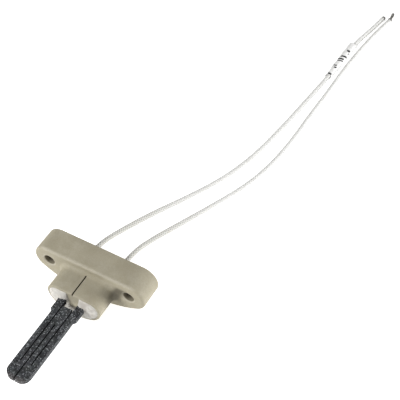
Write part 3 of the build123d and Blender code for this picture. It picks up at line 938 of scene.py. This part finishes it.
class IGNITER_OT_leads(Operator):
    """Makes both leads: woven glass braid, mica tape and twisted plated strands"""
    bl_idname = "igniter.leads"
    bl_label = "Leads"
    measures = {}

    def execute(self, context):
        look = Looks(context.scene)
        mica, wire = mica_finish(look), wire_finish(look)
        for side, bare in (("left", look.cut_length), ("right", look.bare_length)):
            path = Path(spline_points(f"{side}_lead_line", ROUTES[side]))
            end = path.length - bare
            self.braid(look, side, path, end)
            self.mica(mica, side, path, end)
            self.conductor(look, wire, side, path)
        return {"FINISHED"}

    def braid(self, look, side, path, end):
        """The radius is the lead's own less the weave's relief where the weave is low; the
        side that lies on the surface is pressed flat there."""
        s = np.linspace(0, end, 1780)

        def radius(s, angle):
            loose = 1 + look.braid_loose * np.sin(pi * np.clip((s - 6.0) / 70.0, 0, 1)) ** 2
            return BRAID_RADIUS * loose - look.braid_relief * (1 - weave(angle, s, look))

        piece = sleeve_piece(f"{side}_braid", path, s, radius, BRAID_BORE, 48, bore_rings=180)
        settle(piece, glass_braid(look, side, end), "glass_braid", f"{side}_lead_braid")
        self.measures[side] = (piece, path.part(0, end) * MM, end)

    def mica(self, finish, side, path, end):
        """A thin tape wound in a spiral: the radius rises along each turn and drops back
        at the lap."""
        s = np.linspace(0.2, end - 0.2, 900)

        def radius(s, angle):
            return TAPE_RADIUS + TAPE_LAP * ((s / TAPE_WIDTH + angle / (2 * pi)) % 1.0)

        piece = sleeve_piece(f"{side}_mica_tape", path, s, radius, TAPE_BORE, 20, blunt=0.05)
        settle(piece, finish, "mica_tape", f"{side}_mica_wrap")

    def conductor(self, look, finish, side, path):
        """Seven round strands, one straight in the middle and six wound round it, each a
        tube whose middle circles the lead's own line once per lay."""
        start = float(low(f"{side}_conductor")[1]) - float(low(f"{side}_lead_braid")[1])
        s = np.linspace(start, path.length, 560)
        place, across, up = path.frames(s)
        ring = np.linspace(0, 2 * pi, 8, endpoint=False)
        spread = np.sin(0.75 * pi * np.clip((s - path.length + 5.0) / 5.0, 0, 1)) ** 2
        splay = 2 * STRAND_RADIUS * 0.99 * (1 + look.splay * spread)
        taper = np.clip(np.minimum(s - s[0], s[-1] - s) / 0.12, 0, 1) ** 0.5
        reach = STRAND_RADIUS * (0.55 + 0.45 * taper)
        skin = reach[:, None, None] * (np.cos(ring)[:, None] * across[:, None]
                                       + np.sin(ring)[:, None] * up[:, None])
        blocks, faces = [], []
        for number in range(STRAND_COUNT):
            offset = splay[:, None] if number else 0.0
            wind = 2 * pi * (s / look.strand_lay + number / (STRAND_COUNT - 1))[:, None]
            middle = place + offset * (np.cos(wind) * across + np.sin(wind) * up)
            tube = middle[:, None] + skin
            first = number * len(s) * len(ring)
            index = first + np.arange(len(s) * len(ring)).reshape(len(s), len(ring))
            faces += (grid_faces(len(s), len(ring))[:, ::-1] + first).tolist()
            faces += [index[0].tolist(), index[-1][::-1].tolist()]
            blocks.append(tube.reshape(-1, 3))
        piece = new_piece(f"{side}_strands", np.vstack(blocks), faces)
        settle(piece, finish, "plated_wire", f"{side}_conductor")


class IGNITER_OT_label(Operator):
    """Wraps a strip of crinkled paper round the left lead"""
    bl_idname = "igniter.label"
    bl_label = "Paper wrap"

    def execute(self, context):
        """The section is a flattened ring, wider than it is high, that narrows and widens
        with the creases; its ends are cut a little askew. Its wall is one sheet thick."""
        look = Looks(context.scene)
        path = Path(spline_points("label_line", ROUTES["left"]))
        middle = (low("wire_label") + high("wire_label")) / 2
        middle[2] = BRAID_RADIUS
        nearest = path.at[np.argmin(np.linalg.norm(path.points - middle, axis=1))]
        around, rings = 96, 150
        angle = np.linspace(0, 2 * pi, around, endpoint=False)
        v = np.linspace(-0.5, 0.5, rings)
        skew = 0.5 * np.cos(angle) + 0.25 * np.sin(2 * angle + 1.0)
        pinch = np.abs(np.cos(angle)) ** 0.85 * np.sign(np.cos(angle))
        layers = []
        for inset, order in ((0.0, v[:, None]), (PAPER_THICKNESS, v[::-1, None])):
            s = nearest + order * look.label_length + skew * (order * 2) ** 2
            place, side, up = path.frames(s.ravel())
            flat = np.stack([np.broadcast_to(angle, s.shape) * 1.4, s, np.zeros_like(s)], axis=-1)
            crinkle = lumps(flat, 4.5, 41) * 0.65 + lumps(flat, 1.8, 42) * 0.35
            along = order + 0.5
            crinkle = look.label_crinkle * crinkle
            swell = 1 + crinkle + 0.16 * along - np.clip(0.22 - along, 0, 1)
            wide = (LABEL_HALF_WIDE * swell - inset) * pinch
            tall = (LABEL_HALF_HIGH * (1 + 0.4 * crinkle) - inset) * np.sin(angle)
            wide = wide - look.label_shift * np.clip((along - 0.25) / 0.75, 0, 1)
            points = place + wide.ravel()[:, None] * side + tall.ravel()[:, None] * up
            layers.append((points.reshape(rings, around, 3), s))
        points = np.vstack([layer[0] for layer in layers])
        points[..., 2] = np.maximum(points[..., 2], 0.02)
        faces = grid_faces(2 * rings, around, wrap_rows=True)[:, ::-1]
        piece = new_piece("paper_wrap", points, faces.tolist())
        s = np.vstack([layer[1] for layer in layers]) - nearest + look.label_length / 2
        add_uv(piece, np.broadcast_to(angle / (2 * pi) * LABEL_ROUND, s.shape), s)
        settle(piece, paper_finish(look), "label_paper", "wire_label")
        return {"FINISHED"}


class IGNITER_OT_declare_leads(Operator):
    """Looks up the pieces that go with each lead: its mica tape, its strands and, on the left, the
    paper wrap
    """
    bl_idname = "igniter.declare_leads"
    bl_label = "State the leads"

    def execute(self, context):
        for side, (piece, path, length) in IGNITER_OT_leads.measures.items():
            extras = [f"{side}_mica_tape", f"{side}_strands"]
            extras += ["paper_wrap"] if side == "left" else []
            [bpy.data.objects[name] for name in extras]
        return {"FINISHED"}


class IGNITER_OT_stage(Operator):
    """Sets the floor, the soft lights and the camera"""
    bl_idname = "igniter.stage"
    bl_label = "Stage"

    def execute(self, context):
        look = Looks(context.scene)
        points = [(x * FLOOR_REACH, y * FLOOR_REACH, FLOOR_Z)
                  for x, y in ((-1, -1), (1, -1), (1, 1), (-1, 1))]
        floor = new_piece("floor", points, [(0, 1, 2, 3)], smooth=False)
        floor.data.materials.append(floor_finish(look))
        self.camera(context, look)
        for name, (place, size, power) in LIGHTS.items():
            self.light(context, name, place, size, getattr(look, power))
        world = bpy.data.worlds.new("surround")
        world.use_nodes = True
        surround = world.node_tree.nodes["Background"].inputs
        surround["Color"].default_value = (1, 1, 1, 1)
        surround["Strength"].default_value = look.sky
        context.scene.world = world
        context.scene.view_settings.view_transform = "Standard"
        return {"FINISHED"}

    def camera(self, context, look):
        """The camera looks back along its turn and its height angle, level across."""
        turn, lift = look.azimuth, look.elevation
        back = np.array([sin(turn) * cos(lift), -cos(turn) * cos(lift), sin(lift)])
        right = np.array([cos(turn), sin(turn), 0.0])
        up = np.cross(back, right)
        data = bpy.data.cameras.new("camera")
        data.lens = look.lens
        data.sensor_width = 36.0
        data.clip_start, data.clip_end = 0.01, 20.0
        context.scene.camera = self.aimed(context, "camera", data, CAMERA_PLACE, right, up, back)

    def light(self, context, name, place, size, power):
        """A square soft light that faces the middle of the object."""
        data = bpy.data.lights.new(name, "AREA")
        data.energy, data.size = power, size
        back = unit(np.subtract(place, LIGHT_TARGET))
        right = unit(np.cross(UP, back))
        self.aimed(context, name, data, place, right, np.cross(back, right), back)

    def aimed(self, context, name, data, place, right, up, back):
        """An object at a place whose own axes point to the right, up and back."""
        item = bpy.data.objects.new(name, data)
        item.matrix_world = Matrix([(*row, 0) for row in (right, up, back)]
                                   + [(*place, 1)]).transposed()
        context.scene.collection.objects.link(item)
        return item


OPERATORS = (IGNITER_OT_stage, IGNITER_OT_leads, IGNITER_OT_label, IGNITER_OT_declare_leads,
             IGNITER_OT_holder, IGNITER_OT_element, IGNITER_OT_terminals,
             IGNITER_OT_front_cement, IGNITER_OT_rear_cement)
SETTINGS = {"igniter_holder": HolderSettings, "igniter_element": ElementSettings,
            "igniter_cement": CementSettings, "igniter_leads": LeadSettings,
            "igniter_label": LabelSettings, "igniter_stage": StageSettings}


class IGNITER_PT_panel(Panel):
    """Lists the pieces and their settings"""
    bl_idname = "IGNITER_PT_panel"
    bl_label = "Ignition electrode"
    bl_space_type = "VIEW_3D"
    bl_region_type = "UI"
    bl_category = "Igniter"

    def draw(self, context):
        for operator in OPERATORS:
            self.layout.operator(operator.bl_idname)
        for name, group in SETTINGS.items():
            box = self.layout.box()
            for setting in group.__annotations__:
                box.prop(getattr(context.scene, name), setting)


CLASSES = (*SETTINGS.values(), *OPERATORS, IGNITER_PT_panel)


def register():
    for item in CLASSES:
        bpy.utils.register_class(item)
    for name, group in SETTINGS.items():
        setattr(bpy.types.Scene, name, PointerProperty(type=group))


def unregister():
    for name in SETTINGS:
        delattr(bpy.types.Scene, name)
    for item in reversed(CLASSES):
        bpy.utils.unregister_class(item)


def main():
    """Builds every piece in order."""
    register()
    for operator in OPERATORS:
        group, name = operator.bl_idname.split(".")
        getattr(getattr(bpy.ops, group), name)()


if __name__ == "__main__":
    main()
